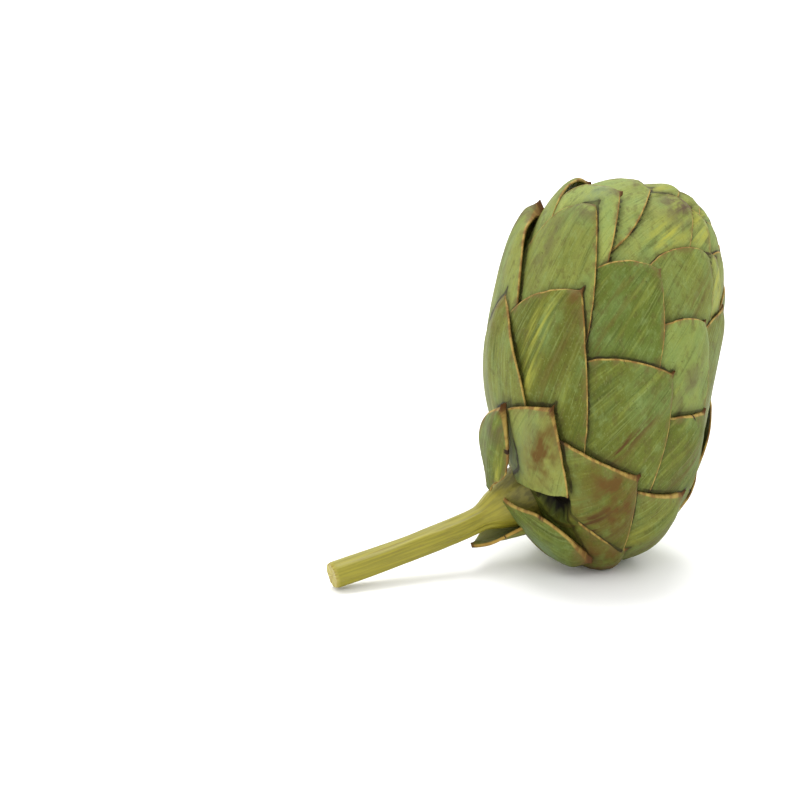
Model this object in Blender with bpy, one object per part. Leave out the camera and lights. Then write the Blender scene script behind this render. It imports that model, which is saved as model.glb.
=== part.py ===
"""Globe artichoke, cut with a short stem and lying as it rests on a table.

Two pieces: the flower head, whose bracts overlap like scales round a solid receptacle, and
the ribbed stem below it. The origin is on the table under the middle of the whole thing,
+Z is up, and +X is the way the head points, away from its stem.
"""

import math
import random

import bmesh
import bpy
from mathutils import Matrix, Vector

MM = 0.001

# The head is an egg that leans over its stem: three half-axes, from its middle.
HEAD_CENTRE = Vector((27.1, 0.6, 60.0)) * MM
HEAD_TO_TIP = Vector((31.8, 0.0, 39.4)) * MM
HEAD_TO_NEAR_SIDE = Vector((-3.7, -39.0, 1.3)) * MM
HEAD_TO_UPPER_SIDE = Vector((-19.8, 2.8, 43.7)) * MM
HEAD_RADIUS = 45.0 * MM  # one radian along the head's surface is about this long
FULL_BASE = 0.077  # how much fuller than an egg the head is round its base
SLIM_TIP = -0.08  # and how much slimmer round its tip
HEAVY_SIDE = Vector((-0.20, 0.32, -0.92)).normalized()  # the side that has grown fullest
HEAVY_BULGE = 0.11
SHOULDER_SIDE = Vector((0.20, -0.15, 0.95)).normalized()  # and a lesser one across from it
SHOULDER_BULGE = 0.075
BULGE_FOCUS = 6  # the greater, the smaller the bulges
CORE_DEPTH = 6.0 * MM  # the bracts' roots are sunk in a core this far below the head's surface

# Bracts follow the golden angle, and each has its tip nearer the head's tip than the last.
FIRST_BRACT = -3
LAST_OPEN_BRACT = 44
LAST_BRACT = 50
GOLDEN_ANGLE = math.radians(137.508)
SPIRAL_START = math.radians(21.4)
TIP_REACH = math.radians(126.3)  # angle from the tip of bract 0 to the tip of the head
TIP_CROWDING = 0.0561  # each bract's tip is this share nearer to it
CLOSING_STEP = math.radians(1.2)  # each of the last bracts reaches this much further, to close the tip
ROOT_ANGLE = math.radians(6.0)
SEED = 7

# A full bract, from the widest ring. Higher ones are smaller, as their tips crowd together,
# and so are the few lowest ones, which stayed small.
LONGEST_BRACT = 56.0 * MM
HALF_WIDTH = 27.0 * MM
FIRST_FULL_BRACT = 4
LAST_BRACT_APART = 5  # above this one the tips crowd
LEAST_WIDTH = 0.55  # share of the full width that the smallest inner bract keeps
STUNTED_WIDTH = 0.15
NECK_LIFT = 8.5 * MM  # the lowest ones grow from the neck, this far down the stem
WIDEST_AT = 0.64  # share of its length from the tip back to its widest place
WIDEST_WITHIN = 1.35  # but no further back than this many half widths
BLUNTNESS = 2.15  # 1 is a pointed triangle, and more is a rounder tip
ROOT_NARROWING = 0.35
STUNTED_NARROWING = 0.95
SKEW_SPREAD = 4.0  # degrees
STANDS_OFF_SPREAD = 0.3 * MM
TIP_BEND = 15.0 * MM  # the length over which its tip curls in
TIP_TUCK = 2.4 * MM  # how far its tip curls in, onto the bracts under it
SINKS = 5.5 * MM  # how deep it ends up under the lower bracts, towards its root
SINKS_WITHIN = 22.0 * MM
CROWN = 1.2 * MM  # how much lower its edges are than its rib, near its tip
CROWN_WITHIN = 18.0 * MM
CUPPED = 0.7  # share of its lean that its edges lack
LIP = 0.75 * MM  # thickness at its edge
ROOT_DEPTH = 7.0 * MM

# What grew unevenly, for each such bract: degrees nearer the head's tip, degrees round the
# head, how far its tip stands off in mm, the degrees that all of it leans out, and the
# degrees that it is turned on its own middle
UNEVEN = {
    -3: (8, -15, 1.5, 4, 0),
    -2: (6, 17, 1.0, 2, 12),
    -1: (16, 99, 1.0, 0, 0),
    0: (0, 9, 1.0, 2, -8),
    1: (0, 65, 0.0, 0, -8),
    2: (-3, -15, 0.0, 0, 0),
    3: (-2, 10, 0.0, 0, 0),
    5: (-1, -5, 0.5, 0, 0),
    6: (-2, 34, 0.5, 0, 0),
    7: (0, -22, -1.5, 5, 0),
    8: (0, -5, 0.0, 0, 0),
    10: (-2, -17, 0.5, 0, 0),
    11: (-4, 17, 0.0, 0, 0),
    13: (-4, -6, 0.0, 0, 0),
    14: (-15, 20, 0.0, 0, 0),
    15: (-9, -6, 0.0, 0, 0),
    16: (-1, 8, 0.0, 0, 0),
    18: (-15, 4, 0.5, 0, 0),
    19: (-11, -11, 0.5, 0, 0),
    21: (8, -8, 0.0, 0, 0),
    23: (-4, -20, -0.5, -1, 0),
    26: (5, 2, 0.0, 0, 0),
}

# The stem leaves the head's base, bends down and lies along the table.
STEM_RADIUS = 4.2 * MM
STEM_RUN = 68.0 * MM
STEM_SIDEWAYS = 0.04
STEM_SEAT = Vector((-0.97, 0.0, -0.20)).normalized()  # where it meets the head
STEM_STRAIGHT = 22.0 * MM  # how far it keeps its direction as it leaves the head
STEM_LEVEL = 44.0 * MM  # how far it lies level along the table before it bends up
STEM_SAGS = 8.0 * MM
STEM_RIBS = 8
STEM_RINGS = 22
RIB_DEPTH = 0.06
SOCKET_DEPTH = 5.0 * MM
GAP = 0.3 * MM

# The neck is the head's own flare, from which the lowest bracts grow. The stem sits in it.
NECK_STARTS = 0.58  # share of the stem's line from its cut end
NECK_WALL = 1.0 * MM
NECK_FLARE = 5.5 * MM
NECK_RINGS = 8

# The withered little bract that sheathes the stem from below, as shares of the stem's line
SHEATH_ROOT = 0.93
SHEATH_TIP = 0.50
SHEATH_HALF_ANGLE = math.radians(62.0)
SHEATH_CLEARANCE = 1.8 * MM
SHEATH_ROOM = 5.5 * MM  # how much further it stands off the stem at its root
SHEATH_THICKNESS = 0.9 * MM

TABLE_SIZE = 0.4


def smoothstep(low, high, value):
    """0 below low, 1 above high, and a smooth ramp between."""
    t = min(max((value - low) / (high - low), 0.0), 1.0)
    return t * t * (3 - 2 * t)


def head_surface(direction, height):
    """The point this high above the head's egg, in a unit direction (tip, near, upper)."""
    lean = direction.x
    shoulder = 4 * lean**2 * (1 - lean**2)
    fullness = (SLIM_TIP if lean > 0 else FULL_BASE) * shoulder
    fullness += HEAVY_BULGE * max(0.0, direction.dot(HEAVY_SIDE)) ** BULGE_FOCUS
    fullness += SHOULDER_BULGE * max(0.0, direction.dot(SHOULDER_SIDE)) ** BULGE_FOCUS
    to_metres = Matrix((HEAD_TO_TIP, HEAD_TO_NEAR_SIDE, HEAD_TO_UPPER_SIDE)).transposed()
    return HEAD_CENTRE + to_metres @ direction * (1 + fullness + height / HEAD_RADIUS)


def bract_facts(k):
    """The place, size and pose of bract k, counted from the ring round the stem."""
    draw = random.Random(SEED * 1000 + k)
    nearer, round_head, off, lean_out, skew = UNEVEN.get(k, (0, 0, 0, 0, 0))
    tip_angle = math.pi - TIP_REACH * math.exp(-TIP_CROWDING * k) + math.radians(nearer)
    tip_angle += CLOSING_STEP * max(0, k - LAST_OPEN_BRACT)
    turn = SPIRAL_START - GOLDEN_ANGLE * k + math.radians(round_head)
    crowding = math.exp(-TIP_CROWDING * (k - LAST_BRACT_APART)) * math.sin(tip_angle)
    spacing = min(1.0, math.sqrt(crowding))
    grown = smoothstep(2 * FIRST_BRACT, FIRST_FULL_BRACT, k)
    grown_share = STUNTED_WIDTH + (1 - STUNTED_WIDTH) * grown
    crowded_share = LEAST_WIDTH + (1 - LEAST_WIDTH) * spacing
    return {
        "tip_angle": tip_angle,
        "turn": turn,
        "spacing": spacing,
        "length": min(LONGEST_BRACT, HEAD_RADIUS * (tip_angle - ROOT_ANGLE)),
        "half_width": HALF_WIDTH * grown_share * crowded_share,
        "narrowing": STUNTED_NARROWING + (ROOT_NARROWING - STUNTED_NARROWING) * grown,
        "root_lift": NECK_LIFT * smoothstep(-1, -FIRST_BRACT, -k),
        "off": off * MM + draw.uniform(-1, 1) * STANDS_OFF_SPREAD * spacing,
        "lean_out": math.tan(math.radians(lean_out)),
        "skew": math.radians(skew + draw.uniform(-1, 1) * SKEW_SPREAD),
    }


def half_width_at(facts, back):
    """Half the bract's width at a distance back from its tip."""
    widest = min(WIDEST_AT * facts["length"], WIDEST_WITHIN * facts["half_width"])
    share = min(back / widest, 1.0)
    narrowing = 1 - facts["narrowing"] * smoothstep(widest, facts["length"], back)
    return facts["half_width"] * (1 - (1 - share) ** BLUNTNESS) * narrowing


def bract_frame(facts):
    """Unit vectors in the head: out at the bract's tip, back along its rib, and across."""
    angle, turn = facts["tip_angle"], facts["turn"]
    round_axis = Vector((0, math.cos(turn), math.sin(turn)))
    out = Vector((-math.cos(angle), 0, 0)) + round_axis * math.sin(angle)
    back = Vector((-math.sin(angle), 0, 0)) - round_axis * math.cos(angle)
    across = out.cross(back)
    rib = back * math.cos(facts["skew"]) + across * math.sin(facts["skew"])
    return out, rib, out.cross(rib)


def bract_height(facts, direction, back, q):
    """How far the outer face stands off the head's egg, q of the way from rib to edge.

    A bract sinks by how far it is below its own tip, measured round the head. So wherever
    two bracts meet, the one with the lower tip lies on top, all along its edge.
    """
    size = facts["spacing"]
    angle = math.acos(max(-1.0, min(1.0, -direction.x)))
    below_tip = max(0.0, facts["tip_angle"] - angle) * HEAD_RADIUS
    sunk = SINKS * (1 - math.exp(-((below_tip / SINKS_WITHIN) ** 1.5)))
    curl = (facts["off"] - size * TIP_TUCK) * max(0.0, 1 - back / (size * TIP_BEND)) ** 2
    crown = size * CROWN * math.exp(-below_tip / CROWN_WITHIN) * abs(q) ** 3
    lean = facts["lean_out"] * (facts["length"] - back) * (1 - CUPPED * q * q)
    return curl - sunk - crown + lean


def bract_thickness(facts, back, q):
    """A thin lip all round, and inside it a body that reaches down into the core."""
    from_edge = min((1 - abs(q)) / 0.45, back / (facts["spacing"] * TIP_BEND), 1.0)
    return LIP + ROOT_DEPTH * smoothstep(0, 1, from_edge)


def bract_point(facts, frame, back, q, inner):
    """A point of the bract's outer face, or its inner one."""
    out, rib, across = frame
    along = back / HEAD_RADIUS
    aside = q * half_width_at(facts, back) / HEAD_RADIUS
    spine = out * math.cos(along) + rib * math.sin(along)
    direction = spine * math.cos(aside) + across * math.sin(aside)
    height = bract_height(facts, direction, back, q)
    if inner:
        height -= bract_thickness(facts, back, q)
    drawn_out = facts["root_lift"] * back / facts["length"]
    return head_surface(direction, height) + stem_direction() * drawn_out


def closed_shell(outer, inner):
    """A closed mesh from two like grids of points that meet in a tip, and the rim between."""
    bm = bmesh.new()
    faces = []
    for rows, tip in (outer, inner):
        made = [[bm.verts.new(point) for point in row] for row in rows]
        faces.append((made, bm.verts.new(tip)))
    last = len(faces[0][0][0]) - 1
    rims = []
    for rows, tip in faces:
        for near, far in zip(rows, rows[1:]):
            for j in range(last):
                bm.faces.new((near[j], near[j + 1], far[j + 1], far[j]))
        for j in range(last):
            bm.faces.new((rows[-1][j], rows[-1][j + 1], tip))
        left = [row[0] for row in rows]
        right = [row[last] for row in reversed(rows)]
        rims.append(left + [tip] + right + rows[0][last - 1 : 0 : -1])
    for j in range(len(rims[0])):
        bm.faces.new((rims[0][j - 1], rims[0][j], rims[1][j], rims[1][j - 1]))
    bmesh.ops.recalc_face_normals(bm, faces=bm.faces)
    bmesh.ops.triangulate(bm, faces=bm.faces)
    mesh = bpy.data.meshes.new("shell")
    bm.to_mesh(mesh)
    bm.free()
    return mesh


def bract_mesh(k):
    facts = bract_facts(k)
    frame = bract_frame(facts)
    if facts["spacing"] > 0.6:
        rows = (1.0, 0.75, 0.53, 0.36, 0.23, 0.13, 0.05)
        columns = (-1.0, -0.75, -0.4, 0.0, 0.4, 0.75, 1.0)
    else:
        rows = (0.8, 0.45, 0.24, 0.12, 0.04)
        columns = (-1.0, -0.55, 0.0, 0.55, 1.0)
    sides = []
    for inner in (False, True):
        grid = [
            [bract_point(facts, frame, back * facts["length"], q, inner) for q in columns]
            for back in rows
        ]
        sides.append((grid, bract_point(facts, frame, 0.0, 0.0, inner)))
    return closed_shell(*sides)


def stem_line(share):
    """A point of the stem's middle line, from its cut end (0) to inside the head (1)."""
    base = head_surface(STEM_SEAT, -CORE_DEPTH - SOCKET_DEPTH)
    foot = Vector((base.x - STEM_RUN, base.y - STEM_SIDEWAYS * STEM_RUN, STEM_RADIUS))
    bend = Vector((foot.x + STEM_LEVEL, base.y, STEM_RADIUS + STEM_SAGS))
    neck = base + stem_direction() * STEM_STRAIGHT
    rest = 1 - share
    near_foot = foot * rest**3 + bend * 3 * rest**2 * share
    return near_foot + neck * 3 * rest * share**2 + base * share**3


def stem_direction():
    """The way the stem leaves the head's base: square to the egg's surface there."""
    away = HEAD_TO_NEAR_SIDE.cross(HEAD_TO_UPPER_SIDE).normalized()
    return away if away.dot(HEAD_TO_TIP) < 0 else -away


def stem_radius(share, angle):
    """Ribbed all along."""
    return STEM_RADIUS * (1 + RIB_DEPTH * (math.cos(STEM_RIBS * angle) - 1) / 2)


def neck_radius(share, angle):
    flare = NECK_FLARE * smoothstep(NECK_STARTS, 1, share)
    return stem_radius(share, angle) + NECK_WALL + flare


def stalk_mesh(start, rings, radius_at, extra=0.0):
    """A loft of ribbed rings along the stem's line, from a share of it into the head."""
    sides = 4 * STEM_RIBS
    bm = bmesh.new()
    made = []
    for i in range(rings + 1):
        share = start + (1 - start) * i / rings
        middle = stem_line(share)
        ahead = (stem_line(share + 0.01) - stem_line(share - 0.01)).normalized()
        side = ahead.cross(Vector((0, 0, 1))).normalized()
        up = side.cross(ahead)
        if i == rings:
            middle = middle + ahead * extra
        ring = []
        for j in range(sides):
            angle = 2 * math.pi * j / sides
            spoke = side * math.cos(angle) + up * math.sin(angle)
            point = middle + spoke * (radius_at(share, angle) + extra)
            ring.append(bm.verts.new(point))
        made.append(ring)
    for near, far in zip(made, made[1:]):
        for j in range(sides):
            bm.faces.new((near[j - 1], near[j], far[j], far[j - 1]))
    bm.faces.new(made[0])
    bm.faces.new(made[-1])
    bmesh.ops.recalc_face_normals(bm, faces=bm.faces)
    mesh = bpy.data.meshes.new("stalk")
    bm.to_mesh(mesh)
    bm.free()
    return mesh


def sheath_point(share, q, inner):
    """A point of the withered bract, which wraps the underside of the stem."""
    out = (SHEATH_ROOT - share) / (SHEATH_ROOT - SHEATH_TIP)
    ahead = (stem_line(share + 0.01) - stem_line(share - 0.01)).normalized()
    side = ahead.cross(Vector((0, 0, 1))).normalized()
    down = ahead.cross(side)
    width = 1 - max(0.0, out - 0.35) ** 2 / 0.45
    angle = q * SHEATH_HALF_ANGLE * width
    radius = stem_radius(share, 0) + SHEATH_CLEARANCE + SHEATH_ROOM * (1 - out)
    if not inner:
        radius += SHEATH_THICKNESS
    return stem_line(share) + (down * math.cos(angle) + side * math.sin(angle)) * radius


def sheath_mesh():
    sides = []
    steps = 7
    for inner in (False, True):
        grid = [
            [
                sheath_point(SHEATH_ROOT + (SHEATH_TIP - SHEATH_ROOT) * i / steps, q, inner)
                for q in (-1.0, -0.5, 0.0, 0.5, 1.0)
            ]
            for i in range(steps)
        ]
        sides.append((grid, sheath_point(SHEATH_TIP, 0.0, inner)))
    return closed_shell(*sides)


def core_mesh():
    """The receptacle with the packed inner bracts: the egg, a little smaller."""
    bm = bmesh.new()
    bmesh.ops.create_uvsphere(bm, u_segments=24, v_segments=14, radius=1.0)
    for vert in bm.verts:
        direction = Vector((vert.co.z, vert.co.x, vert.co.y))
        vert.co = head_surface(direction, -CORE_DEPTH)
    bmesh.ops.recalc_face_normals(bm, faces=bm.faces)
    mesh = bpy.data.meshes.new("core")
    bm.to_mesh(mesh)
    bm.free()
    return mesh


def table_mesh():
    """What the table takes off the lowest bracts."""
    bm = bmesh.new()
    bmesh.ops.create_cube(bm, size=1.0)
    for vert in bm.verts:
        vert.co = Vector((vert.co.x, vert.co.y, vert.co.z - 0.5))
        vert.co *= TABLE_SIZE
    mesh = bpy.data.meshes.new("table")
    bm.to_mesh(mesh)
    bm.free()
    return mesh


def add_object(name, mesh, collection):
    obj = bpy.data.objects.new(name, mesh)
    collection.objects.link(obj)
    return obj


def boolean(obj, operation, other):
    """Joins a collection to obj, or cuts an object from it, and applies the result."""
    modifier = obj.modifiers.new("join", "BOOLEAN")
    modifier.operation = operation
    modifier.solver = "EXACT"
    if isinstance(other, bpy.types.Collection):
        modifier.operand_type = "COLLECTION"
        modifier.collection = other
    else:
        modifier.object = other
    graph = bpy.context.evaluated_depsgraph_get()
    made = bpy.data.meshes.new_from_object(obj.evaluated_get(graph))
    obj.modifiers.clear()
    obj.data = made


def keep_largest_body(obj):
    """Drops loose scraps, and fills hollows that the join sealed, by removing their walls."""
    bm = bmesh.new()
    bm.from_mesh(obj.data)
    bmesh.ops.remove_doubles(bm, verts=bm.verts, dist=0.002 * MM)
    bmesh.ops.triangulate(bm, faces=bm.faces)
    left = set(bm.faces)
    islands = []
    while left:
        island = {left.pop()}
        edge_of_search = list(island)
        while edge_of_search:
            face = edge_of_search.pop()
            for edge in face.edges:
                for other in edge.link_faces:
                    if other in left:
                        left.remove(other)
                        island.add(other)
                        edge_of_search.append(other)
        islands.append(island)
    islands.sort(key=len)
    scraps = [face for island in islands[:-1] for face in island]
    bmesh.ops.delete(bm, geom=scraps, context="FACES")
    bm.to_mesh(obj.data)
    bm.free()


def material(name, colour, roughness):
    made = bpy.data.materials.new(name)
    made.use_nodes = True
    shader = made.node_tree.nodes["Principled BSDF"]
    shader.inputs["Base Color"].default_value = (*colour, 1)
    shader.inputs["Roughness"].default_value = roughness
    return made


def make_flower_head(collection, helpers, socket, table):
    bracts = bpy.data.collections.new("bracts")
    helpers.children.link(bracts)
    for k in range(FIRST_BRACT, LAST_BRACT + 1):
        add_object(f"bract_{k - FIRST_BRACT:02d}", bract_mesh(k), bracts)
    add_object("sheath", sheath_mesh(), bracts)
    add_object("neck", stalk_mesh(NECK_STARTS, NECK_RINGS, neck_radius), bracts)
    head = add_object("flower_head", core_mesh(), collection)
    boolean(head, "UNION", bracts)
    for obj in list(bracts.objects):
        bpy.data.objects.remove(obj)
    boolean(head, "DIFFERENCE", socket)
    boolean(head, "DIFFERENCE", table)
    keep_largest_body(head)
    head.data.materials.clear()
    head.data.materials.append(material("bract_green", (0.19, 0.26, 0.10), 0.55))
    return head


def make_stem(collection):
    stem = add_object("stem", stalk_mesh(0.0, STEM_RINGS, stem_radius), collection)
    stem.data.materials.append(material("stem_green", (0.38, 0.38, 0.13), 0.6))
    return stem


def main():
    for obj in list(bpy.data.objects):
        bpy.data.objects.remove(obj)
    scene_collection = bpy.context.scene.collection
    artichoke = bpy.data.collections.new("artichoke")
    helpers = bpy.data.collections.new("cutters")
    scene_collection.children.link(artichoke)
    scene_collection.children.link(helpers)
    helpers.hide_render = True
    socket = add_object("stem_socket", stalk_mesh(0.0, STEM_RINGS, stem_radius, GAP), helpers)
    table = add_object("table_plane", table_mesh(), helpers)
    for cutter in (socket, table):
        cutter.hide_render = True
        cutter.display_type = "WIRE"
    make_flower_head(artichoke, helpers, socket, table)
    make_stem(artichoke)


if __name__ == "__main__":
    main()
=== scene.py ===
import math
import random

import bmesh
import bpy
import numpy as np
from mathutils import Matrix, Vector, kdtree, noise


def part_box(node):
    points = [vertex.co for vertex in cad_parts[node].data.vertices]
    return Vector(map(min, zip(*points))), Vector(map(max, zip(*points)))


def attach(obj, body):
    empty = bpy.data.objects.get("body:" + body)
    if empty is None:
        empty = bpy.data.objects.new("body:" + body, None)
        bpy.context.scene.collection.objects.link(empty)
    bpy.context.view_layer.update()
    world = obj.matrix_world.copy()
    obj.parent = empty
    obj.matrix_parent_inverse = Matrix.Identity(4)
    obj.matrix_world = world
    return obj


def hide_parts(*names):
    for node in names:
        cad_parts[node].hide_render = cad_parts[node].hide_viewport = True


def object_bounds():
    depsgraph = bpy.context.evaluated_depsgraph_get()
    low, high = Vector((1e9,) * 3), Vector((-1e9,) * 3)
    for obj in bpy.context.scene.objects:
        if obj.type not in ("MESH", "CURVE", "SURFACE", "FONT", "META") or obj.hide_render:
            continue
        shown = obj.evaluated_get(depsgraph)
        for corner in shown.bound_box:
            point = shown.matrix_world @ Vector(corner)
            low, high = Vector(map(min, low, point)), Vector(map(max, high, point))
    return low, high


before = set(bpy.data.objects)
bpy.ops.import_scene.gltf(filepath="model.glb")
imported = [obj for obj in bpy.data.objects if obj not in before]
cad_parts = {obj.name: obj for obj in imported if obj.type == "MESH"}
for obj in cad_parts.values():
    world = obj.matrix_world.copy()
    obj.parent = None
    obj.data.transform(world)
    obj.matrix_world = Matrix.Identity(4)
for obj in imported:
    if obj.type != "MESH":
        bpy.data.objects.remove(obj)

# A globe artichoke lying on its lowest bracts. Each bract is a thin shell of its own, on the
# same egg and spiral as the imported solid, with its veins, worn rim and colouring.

CAD_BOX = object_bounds()
MM = 0.001

# ---- the head's form, as in the solids ------------------------------------------------
# A least-squares fit to the photo gave the egg's three vectors, FULL_BASE, SLIM_TIP and the
# spiral's start, reach and crowding. HEAD_TO_TIP and SLIM_TIP were then changed.

HEAD_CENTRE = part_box("flower_head")[0] + Vector((44.108, 37.89, 60.0)) * MM
HEAD_TO_TIP = Vector((31.8, 0.0, 39.4)) * MM
HEAD_TO_NEAR_SIDE = Vector((-3.7, -39.0, 1.3)) * MM
HEAD_TO_UPPER_SIDE = Vector((-19.8, 2.8, 43.7)) * MM
HEAD_RADIUS = 45.0 * MM
FULL_BASE = 0.077
SLIM_TIP = -0.08
HEAVY_SIDE = Vector((-0.20, 0.32, -0.92)).normalized()
HEAVY_BULGE = 0.11
SHOULDER_SIDE = Vector((0.20, -0.15, 0.95)).normalized()
SHOULDER_BULGE = 0.075
BULGE_FOCUS = 6
TO_METRES = np.array((HEAD_TO_TIP, HEAD_TO_NEAR_SIDE, HEAD_TO_UPPER_SIDE))

FIRST_BRACT = -3
LAST_OPEN_BRACT = 44
LAST_BRACT = 50
NUMBERS = range(FIRST_BRACT, LAST_BRACT + 1)
GOLDEN_ANGLE = math.radians(137.508)
SPIRAL_START = math.radians(21.4)
TIP_REACH = math.radians(126.3)
TIP_CROWDING = 0.0561
CLOSING_STEP = math.radians(1.2)  # each of the last bracts reaches this much more, over the tip
ROOT_ANGLE = math.radians(6.0)
SEED = 7

LONGEST_BRACT = 56.0 * MM
HALF_WIDTH = 27.0 * MM
FIRST_FULL_BRACT = 4
LAST_BRACT_APART = 5
LEAST_WIDTH = 0.55
STUNTED_WIDTH = 0.15
NECK_LIFT = 8.5 * MM
WIDEST_AT = 0.64
WIDEST_WITHIN = 1.35
BLUNTNESS = 2.15
ROOT_NARROWING = 0.35
STUNTED_NARROWING = 0.95
SKEW_SPREAD = 4.0
STANDS_OFF_SPREAD = 0.3 * MM
TIP_BEND = 15.0 * MM
TIP_TUCK = 2.4 * MM
SINKS = 5.5 * MM
SINKS_WITHIN = 22.0 * MM
CROWN = 1.2 * MM
CROWN_WITHIN = 18.0 * MM
CUPPED = 0.7

# For each bract that grew unevenly: degrees nearer the head's tip, degrees round the head,
# mm that its tip stands off, degrees that it leans out, degrees turned on its own middle.
# The first two are mostly a scratch script's answers, rounded to whole degrees.
UNEVEN = {
    -3: (8, -15, 1.5, 4, 0),
    -2: (6, 17, 1.0, 2, 12),
    -1: (16, 99, 1.0, 0, 0),
    0: (0, 9, 1.0, 2, -8),
    1: (0, 65, 0.0, 0, -8),
    2: (-3, -15, 0.0, 0, 0),
    3: (-2, 10, 0.0, 0, 0),
    5: (-1, -5, 0.5, 0, 0),
    6: (-2, 34, 0.5, 0, 0),
    7: (0, -22, -1.5, 5, 0),
    8: (0, -5, 0.0, 0, 0),
    10: (-2, -17, 0.5, 0, 0),
    11: (-4, 17, 0.0, 0, 0),
    13: (-4, -6, 0.0, 0, 0),
    14: (-15, 20, 0.0, 0, 0),
    15: (-9, -6, 0.0, 0, 0),
    16: (-1, 8, 0.0, 0, 0),
    18: (-15, 4, 0.5, 0, 0),
    19: (-11, -11, 0.5, 0, 0),
    21: (8, -8, 0.0, 0, 0),
    23: (-4, -20, -0.5, -1, 0),
    26: (5, 2, 0.0, 0, 0),
}

# ---- what only the fine surface has -----------------------------------------------------

EDGE_THICKNESS = 0.5 * MM
BODY_THICKNESS = 2.0 * MM
RIM_BEAD = 0.14 * MM  # the dried rim stands this proud
RIM_WIDTH = 0.5 * MM
SPINE_LENGTH = 1.1 * MM  # the small dry point on a bract's tip
SPINE_HALF_WIDTH = 0.5 * MM
VEIN_SPACING = 1.3 * MM
VEIN_HEIGHT = 0.06 * MM
SWELL_HEIGHT = 0.5 * MM  # broad unevenness of a bract's face
KEEL_HEIGHT = 1.3 * MM  # the fold along a bract's rib, which is sharpest near its tip
KEEL_HALF_WIDTH = 7.0 * MM
NICK_DEPTH = 0.35 * MM

# Beside the neck the upper bracts draw back from the lowest and leave a hollow; its darkness is
# partly real shade and partly painted shade on the bracts in it.
HOLLOW_SIDE = Vector((-0.85, 0.526, -0.05)).normalized()
HOLLOW_RADIUS = math.radians(16.0)
WHOLE_BRACTS = (-3, -2, 0)  # the ones around it that do not sink into it
SPLIT_BRACT = 3  # the one that it ends sharply in
SPLIT_RADIUS = math.radians(10.5)
HOLLOW_FLOOR = 0.6  # share of the hollow's radius that has its full depth
SPLIT_FLOOR = 0.85
HOLLOW_DEPTH = 4.0 * MM
ENDS_SHORT = {0: 0.6, 3: 0.25}  # share of its length by which its lower side misses the neck

# How pale each bract is and how warm, from 0 to 1
TONES = {
    -3: (0.15, 0.3), -2: (0.15, 0.2), 0: (0.7, 0.5), 1: (0.1, 0.5), 2: (0.35, 0.5),
    3: (0.15, 0.6), 5: (0.1, 0.5), 6: (0.3, 0.5), 7: (0.6, 0.5), 8: (0.15, 0.35),
    10: (0.5, 0.4), 11: (0.12, 0.3), 13: (0.15, 0.1), 15: (0.6, 0.4), 16: (0.65, 0.1),
    18: (0.95, 0.3), 21: (0.4, 0.3), 23: (0.8, 0.2), 26: (0.7, 0.4), 29: (0.9, 0.4),
    34: (0.9, 0.4),
}

# Stains, for each bract that has them: which colour, then mm back from the tip and mm across
# to the stain's middle, its half length and half width in mm, and how strong it is
STAINS = {
    0: [("brown", 9, -3, 9, 6, 0.9), ("brown", 2, -4, 4, 3, 0.6), ("bloom", 14, 4, 10, 5, 0.4)],
    1: [("brown", 8, -2, 12, 14, 1.0)],
    3: [("brown", 8, 2, 9, 14, 0.9), ("streak", 19, -3, 11, 9, 0.9), ("yellow", 25, -2, 8, 9, 0.4)],
    5: [("brown", 1, 0, 5, 3, 0.8), ("yellow", 17, 7, 10, 4, 0.6), ("yellow", 29, 3, 8, 3, 0.7),
        ("streak", 16, -5, 14, 4, 0.4)],
    6: [("yellow", 26, 4, 14, 4, 0.6), ("streak", 16, -4, 14, 6, 0.4)],
    8: [("streak", 22, -2, 18, 3.0, 0.9), ("brown", 32, -4, 8, 4, 0.4)],
    11: [("streak", 14, -4, 12, 5, 0.5)],
    -2: [("bloom", 14, 0, 9, 4, 0.7), ("brown", 12, -7, 16, 2.5, 1.0), ("brown", 1, 0, 5, 5, 0.6)],
    -3: [("purple", 2, 0, 5, 5, 0.8), ("yellow", 20, -5, 12, 1.5, 0.8)],
    7: [("purple", 8, 0, 13, 6, 0.9), ("purple", 24, 3, 12, 4, 0.4)],
    10: [("purple", 2, 2, 5, 6, 0.9), ("purple", 16, 8, 12, 4, 0.4)],
    13: [("brown", 0, -1, 3, 2, 1.0), ("streak", 24, 6, 16, 6, 0.35)],
    15: [("purple", 2, 0, 5, 5, 0.8)],
    18: [("purple", 1, -1, 4, 4, 0.6), ("bloom", 8, 3, 9, 6, 0.6)],
    26: [("purple", 5, 2, 8, 7, 0.9), ("yellow", 18, -6, 9, 5, 0.7)],
    23: [("purple", 4, 0, 6, 5, 0.6)],
    2: [("brown", 1, 0, 6, 4, 0.9), ("yellow", 34, 4, 12, 4, 0.6)],
    21: [("streak", 16, -3, 12, 4, 0.4)],
    34: [("yellow", 8, 0, 10, 6, 0.7)],
    29: [("yellow", 8, 0, 10, 6, 0.6)],
}
TINTS = ("brown", "streak", "purple", "yellow", "bloom")
TINTED_BRACTS = 0.45  # share of the other bracts that get a stain of their own

# ---- the stem, as in the solids -----------------------------------------------------------

STEM_RADIUS = 4.2 * MM
STEM_RUN = 68.0 * MM
STEM_SIDEWAYS = 0.04
STEM_SEAT = Vector((-0.97, 0.0, -0.20)).normalized()
STEM_STRAIGHT = 22.0 * MM
STEM_LEVEL = 44.0 * MM
STEM_SAGS = 8.0 * MM
STEM_RIBS = 8
RIB_DEPTH = 0.06
CORE_DEPTH = 6.0 * MM
SOCKET_DEPTH = 5.0 * MM
NECK_STARTS = 0.58
NECK_WALL = 1.0 * MM
NECK_FLARE = 5.5 * MM
SHEATH_ROOT = 0.93
SHEATH_TIP = 0.50
SHEATH_HALF_ANGLE = math.radians(62.0)
SHEATH_CLEARANCE = 1.8 * MM
SHEATH_ROOM = 5.5 * MM
SHEATH_THICKNESS = 0.9 * MM
SHEATH_CURL = 0.8 * MM
SHEATH_WAVE = 0.25 * MM
SHEATH_TAPERS_FROM = 0.35  # share of its length
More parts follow.
